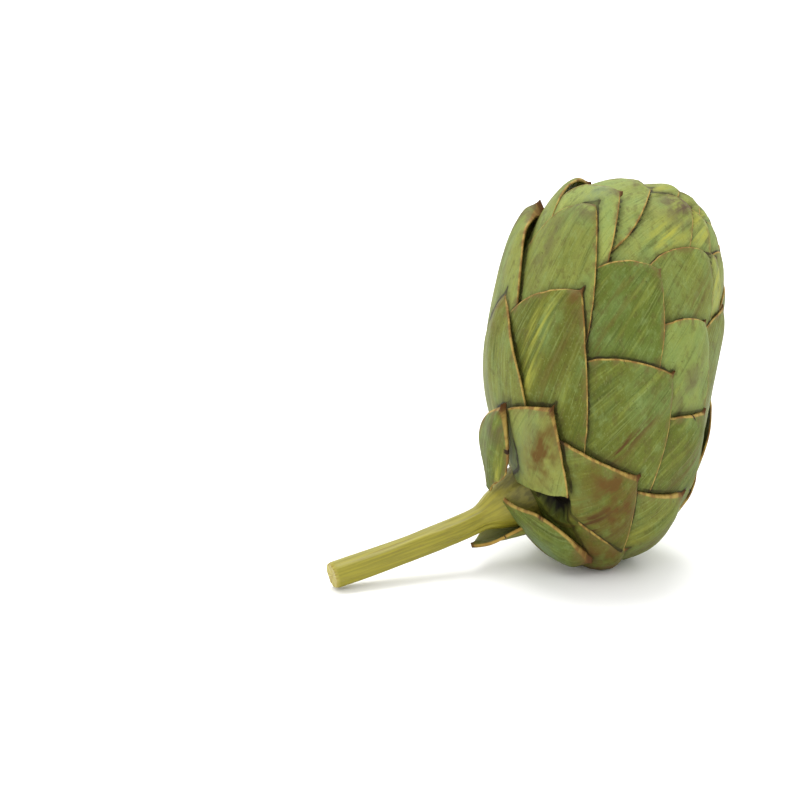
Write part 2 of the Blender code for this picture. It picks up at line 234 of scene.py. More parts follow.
SHEATH_LENGTH_MM = 26
SHEATH_HALF_WIDTH_MM = 7
SHEATH_NUMBER = 60  # sets its pattern apart from those of the bracts
CORE_SINKS = 1.0 * MM  # how much deeper the heart lies than the solid's core

# ---- view and light -----------------------------------------------------------------------
# The same fit gave VIEW_AZIMUTH, AIM_DOWN and a first AIM_LEFT. Another fit put the head's
# middle 203 pixels right of the photo's middle and 34 above it.

VIEW_AZIMUTH = math.radians(-26.0)
VIEW_ELEVATION = math.radians(15.0)
VIEW_DISTANCE = 0.6667
AIM_LEFT = 1.6 * MM
AIM_DOWN = 1.9 * MM
AIM_RIGHT_IN_FRAME = 203 / 800  # where the aim point falls, as shares of the frame's width
AIM_UP_IN_FRAME = 34 / 800
LENS = 100.0
SENSOR = 36.0
ALBEDO_SHARE = 0.62  # the light is more than white needs, so that the floor stays white
WORLD_STRENGTH = 1.3
FLOOR_HALF_SIZE = 6.0

# ---- how fine the meshes are: rows and columns --------------------------------------------

BIG_BRACT_GRID = (72, 64)
SMALL_BRACT_GRID = (42, 38)
BIG_FROM_SPACING = 0.6
CORE_GRID = (40, 64)
SHEATH_GRID = (48, 48)
STALK_SIDES = 160


def smoothstep(low, high, value):
    """0 at low, 1 at high, and a smooth ramp between, where low may be the greater."""
    t = np.clip((value - low) / (high - low), 0.0, 1.0)
    return t * t * (3 - 2 * t)


# ---- form ---------------------------------------------------------------------------------

def head_surface(direction, height):
    """Points this high above the head's egg, in unit directions (tip, near, upper)."""
    lean = direction[..., 0]
    shoulder = 4 * lean**2 * (1 - lean**2)
    fullness = np.where(lean > 0, SLIM_TIP, FULL_BASE) * shoulder
    for side, bulge in ((HEAVY_SIDE, HEAVY_BULGE), (SHOULDER_SIDE, SHOULDER_BULGE)):
        fullness = fullness + bulge * np.maximum(0.0, direction @ np.array(side)) ** BULGE_FOCUS
    reach = 1 + fullness + height / HEAD_RADIUS
    return np.array(HEAD_CENTRE) + (direction @ TO_METRES) * reach[..., None]


def bract_facts(k):
    """The place, size and pose of bract k, counted from the ring round the stem."""
    draw = random.Random(SEED * 1000 + k)
    nearer, round_head, off, lean_out, skew = UNEVEN.get(k, (0, 0, 0, 0, 0))
    tip_angle = math.pi - TIP_REACH * math.exp(-TIP_CROWDING * k) + math.radians(nearer)
    tip_angle += CLOSING_STEP * max(0, k - LAST_OPEN_BRACT)
    turn = SPIRAL_START - GOLDEN_ANGLE * k + math.radians(round_head)
    crowding = math.exp(-TIP_CROWDING * (k - LAST_BRACT_APART)) * math.sin(tip_angle)
    spacing = min(1.0, math.sqrt(crowding))
    grown = float(smoothstep(2 * FIRST_BRACT, FIRST_FULL_BRACT, k))
    grown_share = STUNTED_WIDTH + (1 - STUNTED_WIDTH) * grown
    crowded_share = LEAST_WIDTH + (1 - LEAST_WIDTH) * spacing
    return {
        "k": k,
        "tip_angle": tip_angle,
        "turn": turn,
        "spacing": spacing,
        "length": min(LONGEST_BRACT, HEAD_RADIUS * (tip_angle - ROOT_ANGLE)),
        "half_width": HALF_WIDTH * grown_share * crowded_share,
        "narrowing": STUNTED_NARROWING + (ROOT_NARROWING - STUNTED_NARROWING) * grown,
        "root_lift": NECK_LIFT * float(smoothstep(-1, -FIRST_BRACT, -k)),
        "off": off * MM + draw.uniform(-1, 1) * STANDS_OFF_SPREAD * spacing,
        "lean_out": math.tan(math.radians(lean_out)),
        "skew": math.radians(skew + draw.uniform(-1, 1) * SKEW_SPREAD),
    }


def half_width_at(facts, back):
    """Half the bract's width at distances back from its tip, with its spine in front."""
    widest = min(WIDEST_AT * facts["length"], WIDEST_WITHIN * facts["half_width"])
    share = np.clip(back / widest, 0.0, 1.0)
    narrowing = 1 - facts["narrowing"] * smoothstep(widest, facts["length"], back)
    blade = facts["half_width"] * (1 - (1 - share) ** BLUNTNESS) * narrowing
    return np.maximum(blade, SPINE_HALF_WIDTH * smoothstep(-SPINE_LENGTH, 0.4 * MM, back))


def bract_frame(facts):
    """Unit vectors in the head: out at the bract's tip, back along its rib, and across."""
    angle, turn = facts["tip_angle"], facts["turn"]
    round_axis = Vector((0, math.cos(turn), math.sin(turn)))
    out = Vector((-math.cos(angle), 0, 0)) + round_axis * math.sin(angle)
    back = Vector((-math.sin(angle), 0, 0)) - round_axis * math.cos(angle)
    across = out.cross(back)
    rib = back * math.cos(facts["skew"]) + across * math.sin(facts["skew"])
    return np.array(out), np.array(rib), np.array(out.cross(rib))


def hollow_at(direction, k):
    """1 in the middle of the hollow beside the neck, 0 outside it."""
    apart = np.arccos(np.clip(direction @ np.array(HOLLOW_SIDE), -1, 1))
    if k in WHOLE_BRACTS:
        return apart * 0
    if k == SPLIT_BRACT:
        return smoothstep(SPLIT_RADIUS, SPLIT_RADIUS * SPLIT_FLOOR, apart)
    return smoothstep(HOLLOW_RADIUS, HOLLOW_RADIUS * HOLLOW_FLOOR, apart)


def bract_height(facts, direction, back, q):
    """How far the outer face stands off the egg. It sinks by how far it is below its tip."""
    size = facts["spacing"]
    angle = np.arccos(np.clip(-direction[..., 0], -1, 1))
    below_tip = np.maximum(0.0, facts["tip_angle"] - angle) * HEAD_RADIUS
    sunk = SINKS * (1 - np.exp(-((below_tip / SINKS_WITHIN) ** 1.5)))
    curl = (facts["off"] - size * TIP_TUCK) * np.clip(1 - back / (size * TIP_BEND), 0, 1) ** 2
    crown = size * CROWN * np.exp(-below_tip / CROWN_WITHIN) * np.abs(q) ** 3
    hollow = HOLLOW_DEPTH * hollow_at(direction, facts["k"])
    lean = facts["lean_out"] * (facts["length"] - back) * (1 - CUPPED * q * q)
    return curl - sunk - crown - hollow + lean


def noise_at(x, y, z):
    """Smooth noise from -1 to 1 over arrays of coordinates."""
    x, y, z = np.broadcast_arrays(x, y, z)
    values = [noise.noise(Vector(p)) for p in zip(x.ravel(), y.ravel(), z.ravel())]
    return np.array(values).reshape(x.shape)


def relief(facts, back, q, aside, vein):
    """The fine height of a bract's face: broad swells, lengthwise veins and a midrib."""
    k = facts["k"]
    size = facts["spacing"]
    swell = noise_at(back / (16 * MM), vein / (8 * MM), k * 3.7) * SWELL_HEIGHT * size
    wander = noise_at(back / (18 * MM), q * 2.0, k * 1.3 + 50) * 0.8
    wave = np.cos(2 * math.pi * (vein / VEIN_SPACING + wander))
    strength = 0.6 + 0.4 * noise_at(back / (10 * MM), q * 3.0, k * 2.1 + 90)
    calm = smoothstep(0, 5 * MM, back) * smoothstep(1.0, 0.9, np.abs(q))
    vein = wave * VEIN_HEIGHT * strength * calm
    across_keel = np.sqrt(aside**2 + (0.5 * MM) ** 2) / KEEL_HALF_WIDTH
    fade = smoothstep(0, 5 * MM, back) * np.exp(-back / (30 * MM))
    keel = KEEL_HEIGHT * np.maximum(0, 1 - across_keel) * fade * size
    return swell * smoothstep(0, 6 * MM, back) + vein + keel


def bract_grids(facts, rows, columns):
    """The outer and inner faces as grids of points, and the facts of each point."""
    k = facts["k"]
    out, rib, across = bract_frame(facts)
    back = -SPINE_LENGTH + (facts["length"] + SPINE_LENGTH) * np.linspace(0, 1, rows) ** 1.3
    q = np.sin(np.linspace(-1, 1, columns) * math.pi / 2 * 0.92) / math.sin(math.pi / 2 * 0.92)
    back, q = np.meshgrid(back, q, indexing="ij")
    short = ENDS_SHORT.get(k, 0.0) * smoothstep(0.8, -1.0, q)
    back = back * (1 - short * smoothstep(0, facts["length"], back))
    width = half_width_at(facts, back)
    nick = np.maximum(0, noise_at(back / (3.2 * MM), np.sign(q) * 4.0, k * 5.1) - 0.15)
    ragged = noise_at(back / (1.6 * MM), np.sign(q) * 9.0, k * 7.7) * 0.15
    loss = NICK_DEPTH * (nick * 1.6 + ragged) * smoothstep(1.5 * MM, 6 * MM, back)
    width = width - loss * smoothstep(0.6, 1.0, np.abs(q))
    aside = q * width
    vein = aside / (0.62 + 0.38 * width / facts["half_width"])
    along = back[..., None] / HEAD_RADIUS
    turned = aside[..., None] / HEAD_RADIUS
    spine = out * np.cos(along) + rib * np.sin(along)
    direction = spine * np.cos(turned) + across * np.sin(turned)
    height = bract_height(facts, direction, np.maximum(back, 0), q)
    edge = outline_distance(back, aside, width)
    bead = RIM_BEAD * np.exp(-((edge / RIM_WIDTH - 0.6) ** 2) * 1.5)
    fine = relief(facts, back, q, aside, vein)
    thickness = EDGE_THICKNESS + (BODY_THICKNESS - EDGE_THICKNESS) * smoothstep(0, 9 * MM, edge)
    thickness = thickness * (0.35 + 0.65 * smoothstep(-SPINE_LENGTH, 2 * MM, back))
    drawn_out = facts["root_lift"] * np.maximum(back, 0)[..., None] / facts["length"]
    drawn_out = np.array(stem_direction()) * drawn_out
    outer = head_surface(direction, height + fine + bead) + drawn_out
    inner = head_surface(direction, height + fine * 0.3 - thickness) + drawn_out
    where = {"back": back, "across": aside, "vein": vein, "edge": edge, "direction": direction}
    return outer, inner, where


def outline_distance(back, aside, width):
    """How far each point of a grid is from the bract's outline, not counting its root."""
    line = np.stack([back[:, -1], width[:, -1]], -1)
    steps = [line[:-1] + (line[1:] - line[:-1]) * share for share in np.linspace(0, 0.9, 10)]
    line = np.concatenate(steps)
    flat = np.stack([back, np.abs(aside)], -1).reshape(-1, 1, 2)
    found = [np.linalg.norm(rows - line, axis=-1).min(axis=1) for rows in np.array_split(flat, 8)]
    return np.concatenate(found).reshape(back.shape)


def stain_masks(facts, back, across):
    """How strongly each tint lies at each point."""
    k = facts["k"]
    draw = random.Random(SEED * 500 + k)
    stains = list(STAINS.get(k, []))
    own = draw.random() < TINTED_BRACTS
    tint = draw.choice(TINTS)
    place = (draw.uniform(4, 22), draw.uniform(-7, 7), draw.uniform(6, 14), draw.uniform(3, 7))
    if own and not stains:
        stains.append((tint, *place, draw.uniform(0.4, 0.7)))
    masks = {tint: np.zeros_like(back) for tint in TINTS}
    for tint, middle, side, long, wide, strength in stains:
        x = (back / MM - middle) / long
        y = (across / MM - side) / wide
        masks[tint] = np.maximum(masks[tint], strength * np.exp(-(x * x + y * y)))
    return masks


def shell_mesh(name, outer, inner, facts):
    """A closed shell from two like grids whose first row is a point, with point attributes."""
    rows, columns = outer.shape[:2]
    points = np.concatenate([outer.reshape(-1, 3), inner.reshape(-1, 3)])
    low, high = np.array(CAD_BOX[0]), np.array(CAD_BOX[1])
    points = np.clip(points, low, high)
    number = np.arange(rows * columns).reshape(rows, columns)
    a, b, c, d = number[:-1, :-1], number[:-1, 1:], number[1:, 1:], number[1:, :-1]
    top = np.stack([a, d, c, b], -1).reshape(-1, 4)
    under = np.stack([a, b, c, d], -1).reshape(-1, 4) + rows * columns
    loop = np.concatenate([number[:, 0], number[-1, 1:], number[-2::-1, -1], number[0, -2:0:-1]])
    ahead = np.roll(loop, -1)
    rim = np.stack([loop, ahead, ahead + rows * columns, loop + rows * columns], -1)
    faces = np.concatenate([top, under, rim])
    mesh = bpy.data.meshes.new(name)
    mesh.from_pydata(points.tolist(), [], faces.tolist())
    for key, values in facts.items():
        layer = mesh.attributes.new(key, "FLOAT", "POINT")
        both = np.concatenate([values[0].ravel(), values[1].ravel()]).astype(np.float32)
        layer.data.foreach_set("value", both)
    clean_mesh(mesh)
    mesh.shade_smooth()
    return mesh


def clean_mesh(mesh):
    """Merges the points that fell together, and turns the faces outward."""
    bm = bmesh.new()
    bm.from_mesh(mesh)
    bmesh.ops.remove_doubles(bm, verts=bm.verts, dist=0.01 * MM)
    bmesh.ops.dissolve_degenerate(bm, dist=0.005 * MM, edges=bm.edges)
    bmesh.ops.recalc_face_normals(bm, faces=bm.faces)
    bm.to_mesh(mesh)
    bm.free()


def make_bracts(skin):
    """All of them, from the lowest tip up, so that each knows which rims lie over it."""
    rims = []
    for facts in sorted(map(bract_facts, NUMBERS), key=lambda facts: facts["tip_angle"]):
        big = facts["spacing"] > BIG_FROM_SPACING
        rows, columns = BIG_BRACT_GRID if big else SMALL_BRACT_GRID
        outer, inner, where = bract_grids(facts, rows, columns)
        spread = where["direction"] * HEAD_RADIUS
        # distance to the rims above, along which painted shade is laid
        where["crevice"] = distance_to(rims, spread)
        make_bract(facts, outer, inner, where, skin)
        rims.extend(fill_between(spread[:, 0]) + fill_between(spread[:, -1]))


def fill_between(line):
    """The points of a line, with more put between them."""
    steps = [line[:-1] + (line[1:] - line[:-1]) * share for share in (0.0, 0.33, 0.67)]
    return [Vector(point) for point in np.concatenate(steps)]


def distance_to(rims, places):
    """How far each place is from the nearest rim that lies over it, along the surface."""
    if not rims:
        return np.full(places.shape[:2], 1.0)
    tree = kdtree.KDTree(len(rims))
    for i, point in enumerate(rims):
        tree.insert(point, i)
    tree.balance()
    found = [tree.find(place)[2] for place in places.reshape(-1, 3)]
    return np.array(found).reshape(places.shape[:2])


def make_bract(facts, outer, inner, where, skin):
    """One bract as a piece, with what its material needs to know at each point."""
    k = facts["k"]
    masks = stain_masks(facts, where["back"], where["across"])
    draw = random.Random(SEED * 300 + k)
    tone, warmth = TONES.get(k, (draw.uniform(0.2, 0.75), draw.uniform(0.1, 0.6)))
    zero = np.zeros_like(where["back"])
    # painted shade: how strongly the hollow beside the neck is painted nearly black here
    deep = np.minimum(1, 2 * hollow_at(where["direction"], k))
    layers = {
        "deep": (deep, deep),
        "shade": (zero + tone, zero + tone),
        "warmth": (zero + warmth, zero + warmth),
        "number": (zero + k, zero + k),
        "under": (zero, zero + 1),
    }
    for key in ("back", "across", "vein", "edge", "crevice"):
        layers[key + "_mm"] = (where[key] / MM, where[key] / MM)
    for tint, mask in masks.items():
        layers[tint] = (mask, mask * 0.3)
    name = f"bract_{k - FIRST_BRACT:02d}"
    piece = bpy.data.objects.new(name, shell_mesh(name, outer, inner, layers))
    add_piece(piece, skin, "flower_head")


def add_piece(piece, skin, node):
    """Puts a piece in the scene with its material, in place of a node of the solids."""
    bpy.context.scene.collection.objects.link(piece)
    piece.data.materials.append(skin)
    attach(piece, "root")
    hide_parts(node)


def make_core(skin):
    """The closed heart between the bracts, painted dark as painted shade where it shows between
    them.
    """
    rows, columns = CORE_GRID
    lean = np.linspace(-1, 1, rows)[:, None] * math.pi / 2
    turn = np.linspace(0, 2 * math.pi, columns, endpoint=False)[None, :]
    direction = np.stack(
        [np.sin(lean) + 0 * turn, np.cos(lean) * np.cos(turn), np.cos(lean) * np.sin(turn)], -1
    )
    hollow = HOLLOW_DEPTH * hollow_at(direction, None)
    points = head_surface(direction, -CORE_DEPTH - CORE_SINKS - hollow).reshape(-1, 3)
    points[:, 2] = np.maximum(points[:, 2], 1.0 * MM)
    number = np.arange(rows * columns).reshape(rows, columns)
    right = np.roll(number, -1, axis=1)
    faces = np.stack([number[:-1], right[:-1], right[1:], number[1:]], -1).reshape(-1, 4)
    mesh = bpy.data.meshes.new("heart")
    mesh.from_pydata(points.tolist(), [], faces.tolist())
    clean_mesh(mesh)
    mesh.shade_smooth()
    piece = bpy.data.objects.new("heart", mesh)
    add_piece(piece, skin, "flower_head")


# ---- stem ---------------------------------------------------------------------------------

def stem_direction():
    """The way that the stem leaves the head."""
    away = HEAD_TO_NEAR_SIDE.cross(HEAD_TO_UPPER_SIDE).normalized()
    return away if away.dot(HEAD_TO_TIP) < 0 else -away


def stem_line(share):
    """A point on the stem's middle line, from 0 at its cut end to 1 in the head."""
    seat = np.array(STEM_SEAT)
    base = Vector(head_surface(seat, np.array(-CORE_DEPTH - SOCKET_DEPTH)))
    foot = Vector((base.x - STEM_RUN, base.y - STEM_SIDEWAYS * STEM_RUN, STEM_RADIUS))
    bend = Vector((foot.x + STEM_LEVEL, base.y, STEM_RADIUS + STEM_SAGS))
    neck = base + stem_direction() * STEM_STRAIGHT
    rest = 1 - share
    near_foot = foot * rest**3 + bend * 3 * rest**2 * share
    return near_foot + neck * 3 * rest * share**2 + base * share**3


def stem_axes(share):
    ahead = (stem_line(share + 0.01) - stem_line(share - 0.01)).normalized()
    side = ahead.cross(Vector((0, 0, 1))).normalized()
    return ahead, side, side.cross(ahead)


def stem_radius(angle):
    return STEM_RADIUS * (1 + RIB_DEPTH * (math.cos(STEM_RIBS * angle) - 1) / 2)


def neck_radius(share, angle):
    """The head's own flare round the stem, which it leaves without a step."""
    wall = NECK_WALL * float(smoothstep(NECK_STARTS, NECK_STARTS + 0.12, share))
    return stem_radius(angle) + wall + NECK_FLARE * float(smoothstep(NECK_STARTS, 1, share))


def stalk_points(start, rings, sides, radius_at, caps):
    """Fluted rings along the stem's line, after rings that close the cut end, and their facts."""
    points, facts = [], []
    for i in range(-caps, rings + 1):
        share = start + (1 - start) * max(i, 0) / rings
        middle = stem_line(share)
        ahead, side, up = stem_axes(share)
        inward = 1 + min(i, 0) / caps if caps else 1.0
        for j in range(sides):
            angle = 2 * math.pi * j / sides
            around = Vector((0, math.cos(angle), math.sin(angle)))
            flute = math.cos(angle * 40 + 0.4 * math.sin(share * 9)) * 0.02
            grain = noise.noise(around * 3 + Vector((share * 8, 0, 0)))
            radius = radius_at(share, angle) + (flute + grain * 0.22 - 0.2) * MM
            rough = 0.12 * MM * noise.noise(around * 2 + Vector((inward * 4, 0, 0)))
            end = (0.25 * MM * (1 - inward) + rough) * (inward < 1)
            bevel = 0.35 * MM if caps and i == 0 else 0.0
            spoke = side * math.cos(angle) + up * math.sin(angle)
            points.append(middle + spoke * ((radius - bevel) * inward) + ahead * end)
            facts.append((share, angle, 1.0 if caps and i <= 0 else 0.0))
    return points, facts


def make_stalk(name, start, rings, radius_at, caps, node, skin):
    """Ribbed and finely fluted, with a cut end that is sunk a little between its fibres."""
    points, facts = stalk_points(start, rings, STALK_SIDES, radius_at, caps)
    number = np.arange(len(points)).reshape(-1, STALK_SIDES)
    right = np.roll(number, -1, axis=1)
    faces = np.stack([number[:-1], number[1:], right[1:], right[:-1]], -1).reshape(-1, 4)
    mesh = bpy.data.meshes.new(name)
    low, high = np.array(CAD_BOX[0]), np.array(CAD_BOX[1])
    points = np.clip(np.array(points), low, high)
    mesh.from_pydata(points.tolist(), [], faces.tolist() + [number[-1].tolist()])
    for key, values in zip(("stem_share", "stem_angle", "cut"), zip(*facts)):
        mesh.attributes.new(key, "FLOAT", "POINT").data.foreach_set("value", values)
    clean_mesh(mesh)
    mesh.shade_smooth()
    add_piece(bpy.data.objects.new(name, mesh), skin, node)


def make_sheath(skin):
    """The withered bract that wraps the underside of the stem."""
    rows, columns = SHEATH_GRID
    grids = []
    for inner in (False, True):
        grid = np.zeros((rows, columns, 3))
        for i in range(rows):
            out = 1 - i / (rows - 1)
            share = SHEATH_ROOT + (SHEATH_TIP - SHEATH_ROOT) * out
            ahead, side, up = stem_axes(share)
            taper = max(0.0, out - SHEATH_TAPERS_FROM) / (1 - SHEATH_TAPERS_FROM)
            width = max(0.0, 1 - taper**2)
            radius = stem_radius(0) + SHEATH_CLEARANCE + SHEATH_ROOM * (1 - out)
            radius += 0.0 if inner else SHEATH_THICKNESS
            middle = stem_line(share)
            for j in range(columns):
                q = 2 * j / (columns - 1) - 1
                angle = q * SHEATH_HALF_ANGLE * width
                curl = SHEATH_CURL * abs(q) ** 3 * out
                wave = SHEATH_WAVE * noise.noise(Vector((out * 5, q * 2, 3.0)))
                spoke = side * math.sin(angle) - up * math.cos(angle)
                grid[i, j] = middle + spoke * (radius + curl + wave)
        grids.append(grid)
    out = np.linspace(0, 1, rows)[:, None] + np.zeros((1, columns))
    q = np.linspace(-1, 1, columns)[None, :] + np.zeros((rows, 1))
    back = out * SHEATH_LENGTH_MM
    across = q * SHEATH_HALF_WIDTH_MM
    edge = np.minimum((1 - np.abs(q)) * SHEATH_HALF_WIDTH_MM, back)
    zero, one = np.zeros_like(q), np.ones_like(q)
    no_rim_near = one * 99
    layers = {
        "back_mm": (back, back),
        "across_mm": (across, across),
        "vein_mm": (across, across),
        "edge_mm": (edge, edge),
        "crevice_mm": (no_rim_near, no_rim_near),
        "deep": (zero, zero),
        "shade": (zero + 0.4, zero + 0.2),
        "warmth": (zero + 0.6, zero + 0.6),
        "number": (zero + SHEATH_NUMBER, zero + SHEATH_NUMBER),
        "under": (zero, one),
        "brown": (0.9 * np.exp(-back / 5), one * 0.55),
        "purple": (zero, zero),
        "yellow": (zero + 0.4, zero),
        "bloom": (zero, zero),
    }
    piece = bpy.data.objects.new("sheath", shell_mesh("sheath", *grids, layers))
    add_piece(piece, skin, "flower_head")


# ---- materials ----------------------------------------------------------------------------

def srgb(red, green, blue):
    """A colour given as seen, from 0 to 255, as the linear one that shaders take."""
    def linear(value):
        value /= 255
        return value / 12.92 if value <= 0.04045 else ((value + 0.055) / 1.055) ** 2.4
    return (*(linear(value) * ALBEDO_SHARE for value in (red, green, blue)), 1.0)


class Shader:
    """A material and short ways to add nodes to it."""

    def __init__(self, name):
        self.material = bpy.data.materials.new(name)
        self.material.use_nodes = True
        self.tree = self.material.node_tree
        self.surface = self.tree.nodes["Principled BSDF"]

    def give(self, socket, value):
        if isinstance(value, bpy.types.NodeSocket):
            self.tree.links.new(value, socket)
        else:
            socket.default_value = value

    def attribute(self, name):
        node = self.tree.nodes.new("ShaderNodeAttribute")
        node.attribute_name = name
        return node.outputs["Fac"]

    def calculate(self, operation, a, b=0.0, clamp=False):
        node = self.tree.nodes.new("ShaderNodeMath")
        node.operation = operation
        node.use_clamp = clamp
        self.give(node.inputs[0], a)
        self.give(node.inputs[1], b)
        return node.outputs[0]

    def vector(self, x, y, z=0.0):
        node = self.tree.nodes.new("ShaderNodeCombineXYZ")
        for socket, value in zip(node.inputs, (x, y, z)):
            self.give(socket, value)
        return node.outputs[0]

    def noise(self, place, detail=4.0, roughness=0.55):
        node = self.tree.nodes.new("ShaderNodeTexNoise")
        node.inputs["Scale"].default_value = 1.0
        node.inputs["Detail"].default_value = detail
        node.inputs["Roughness"].default_value = roughness
        self.give(node.inputs["Vector"], place)
        return node.outputs["Fac"]

    def ramp(self, value, low, high):
        """0 at low and 1 at high, smoothly, where low may be the greater."""
        node = self.tree.nodes.new("ShaderNodeMapRange")
        node.interpolation_type = "SMOOTHSTEP"
        self.give(node.inputs["Value"], value)
        self.give(node.inputs["From Min"], low)
        self.give(node.inputs["From Max"], high)
        return node.outputs["Result"]

    def mix(self, share, a, b):
        node = self.tree.nodes.new("ShaderNodeMix")
        node.data_type = "RGBA"
        self.give(node.inputs["Factor"], share)
        self.give(node.inputs["A"], a)
        self.give(node.inputs["B"], b)
        return node.outputs["Result"]

    def bump(self, height, distance, strength=1.0):
        node = self.tree.nodes.new("ShaderNodeBump")
        node.inputs["Distance"].default_value = distance
        node.inputs["Strength"].default_value = strength
        self.give(node.inputs["Height"], height)
        self.give(self.surface.inputs["Normal"], node.outputs["Normal"])


def bract_skin():
    s = Shader("bract_skin")
    back, across = s.attribute("back_mm"), s.attribute("across_mm")
    vein, edge = s.attribute("vein_mm"), s.attribute("edge_mm")
    crevice, deep = s.attribute("crevice_mm"), s.attribute("deep")
    shade, warmth = s.attribute("shade"), s.attribute("warmth")
    number, under = s.attribute("number"), s.attribute("under")
    apart = s.calculate("MULTIPLY", number, 17.3)

    def streaks(per_mm, stretch, detail, offset):
        x = s.calculate("MULTIPLY", vein, per_mm)
        y = s.calculate("MULTIPLY", back, per_mm / stretch)
        return s.noise(s.vector(x, y, s.calculate("ADD", apart, offset)), detail)

    def clouds(per_mm, detail, offset):
        x = s.calculate("MULTIPLY", across, per_mm)
        y = s.calculate("MULTIPLY", back, per_mm)
        return s.noise(s.vector(x, y, s.calculate("ADD", apart, offset)), detail)

    def lay(colour, now, mask, strength=1.0):
        return s.mix(s.calculate("MULTIPLY", mask, strength, clamp=True), now, colour)

    fine = streaks(1.5, 26, 4, 1.0)
    broad = streaks(0.45, 8, 4, 5.0)
    cloud = clouds(0.09, 4, 9.0)
    grain = clouds(1.7, 4, 12.0)
    mottle = clouds(0.33, 6, 15.0)

    colour = s.mix(shade, srgb(86, 104, 22), srgb(166, 184, 96))
    warm = s.mix(shade, srgb(108, 102, 20), srgb(186, 178, 92))
    colour = lay(warm, colour, warmth, 0.9)
    colour = lay(srgb(132, 160, 90), colour, s.ramp(cloud, 0.45, 0.7), 0.5)
    colour = lay(srgb(96, 108, 36), colour, s.ramp(cloud, 0.46, 0.3), 0.45)
    colour = lay(srgb(164, 174, 76), colour, s.ramp(broad, 0.52, 0.72), 0.4)
    colour = lay(srgb(78, 90, 32), colour, s.ramp(broad, 0.46, 0.28), 0.5)
    colour = lay(srgb(176, 190, 112), colour, s.ramp(fine, 0.54, 0.72), 0.3)
    colour = lay(srgb(62, 76, 26), colour, s.ramp(fine, 0.46, 0.28), 0.35)
    colour = lay(srgb(100, 92, 42), colour, s.ramp(mottle, 0.52, 0.68), 0.45)
    colour = lay(srgb(150, 172, 104), colour, s.ramp(mottle, 0.46, 0.3), 0.3)
    colour = lay(srgb(184, 192, 128), colour, s.ramp(grain, 0.56, 0.75), 0.3)
    colour = lay(srgb(58, 66, 26), colour, s.ramp(grain, 0.44, 0.25), 0.35)

    def stain(tint, shade_of_it, texture, low, high, now, strength):
        share = s.calculate("MULTIPLY", s.attribute(tint), s.ramp(texture, low, high))
        return lay(shade_of_it, now, share, strength)

    smooth = s.calculate("MULTIPLY", clouds(0.22, 2, 23.0), 0.75)
    blotch = s.calculate("ADD", smooth, s.calculate("MULTIPLY", fine, 0.25))
    colour = stain("bloom", srgb(132, 152, 108), mottle, 0.3, 0.6, colour, 1.1)
    colour = stain("yellow", srgb(186, 186, 76), broad, 0.4, 0.62, colour, 1.4)
    colour = stain("purple", srgb(104, 88, 64), blotch, 0.36, 0.6, colour, 1.3)
    colour = stain("brown", srgb(112, 84, 34), blotch, 0.28, 0.7, colour, 1.5)
    colour = stain("streak", srgb(96, 70, 30), broad, 0.42, 0.62, colour, 1.4)

    specks = s.ramp(clouds(1.1, 2, 31.0), 0.67, 0.75)
    colour = lay(srgb(60, 48, 26), colour, specks, 0.5)
    colour = lay(srgb(130, 138, 54), colour, under, 0.6)

    # the worn rim, and the dry tissue and cracks next to it
    around = s.calculate("ADD", s.calculate("MULTIPLY", back, 0.25), s.calculate("SIGN", across))
    worn = s.noise(s.vector(around, 0.0, apart), 3)
    rim_reach = s.calculate("ADD", s.calculate("MULTIPLY", worn, 0.45), 0.02)
    ring = s.ramp(edge, s.calculate("ADD", rim_reach, 0.3), rim_reach)
    rim = s.mix(s.ramp(mottle, 0.4, 0.6), srgb(196, 166, 86), srgb(146, 110, 56))
    halo = s.calculate("MULTIPLY", s.ramp(edge, 2.4, 0.5), s.ramp(mottle, 0.4, 0.62))
    colour = lay(srgb(128, 112, 62), colour, halo, 0.6)
    rim = lay(srgb(206, 166, 80), rim, s.ramp(number, 24.0, 36.0), 0.7)
    colour = lay(rim, colour, ring, 0.95)
    crack = s.calculate("MULTIPLY", s.ramp(worn, 0.64, 0.68), s.ramp(edge, 1.5, 0.6))
    colour = lay(srgb(58, 40, 24), colour, crack)
    point = s.ramp(s.calculate("ADD", back, s.calculate("MULTIPLY", grain, 2.0)), 2.8, 0.9)
    colour = lay(srgb(108, 72, 38), colour, point)

    # painted shade in the crevice beside a rim that lies over this bract: a soft darkening and a
    # dark line along the rim
    near = s.calculate("ADD", crevice, s.calculate("MULTIPLY", mottle, -0.8))
    colour = lay(srgb(64, 62, 26), colour, s.ramp(near, 2.2, 0.0), 0.35)
    crevice_shadow_strength = s.calculate("ADD", 0.35, s.calculate("MULTIPLY", s.ramp(cloud, 0.4, 0.6), 0.5))
    painted_crevice_shadow = s.calculate("MULTIPLY", s.ramp(near, 0.45, 0.0), crevice_shadow_strength)
    colour = lay(srgb(44, 30, 14), colour, painted_crevice_shadow)
    # painted shade: the hollow beside the neck painted nearly black
    colour = lay(srgb(20, 16, 8), colour, deep)

    s.give(s.surface.inputs["Base Color"], colour)
    rough = s.calculate("ADD", s.calculate("MULTIPLY", grain, 0.25), 0.45)
    s.give(s.surface.inputs["Roughness"], rough)
    s.surface.inputs["Specular IOR Level"].default_value = 0.12
    height = s.calculate("ADD", fine, s.calculate("MULTIPLY", grain, 0.35))
    height = s.calculate("SUBTRACT", height, crack)
    s.bump(height, 0.2 * MM, 0.7)
    return s.material


def heart_painted_shade():
    s = Shader("heart_painted_shade")
    place = s.tree.nodes.new("ShaderNodeTexCoord").outputs["Object"]
    scaled = s.tree.nodes.new("ShaderNodeVectorMath")
    scaled.operation = "SCALE"
    s.give(scaled.inputs[0], place)
    scaled.inputs["Scale"].default_value = 300
    cloud = s.noise(scaled.outputs[0])
    # painted shade: the heart is coloured dark olive to read as the shadow deep between the bracts
    s.give(s.surface.inputs["Base Color"], s.mix(cloud, srgb(34, 38, 14), srgb(62, 60, 26)))
    s.surface.inputs["Roughness"].default_value = 0.8
    s.bump(cloud, 0.5 * MM)
    return s.material


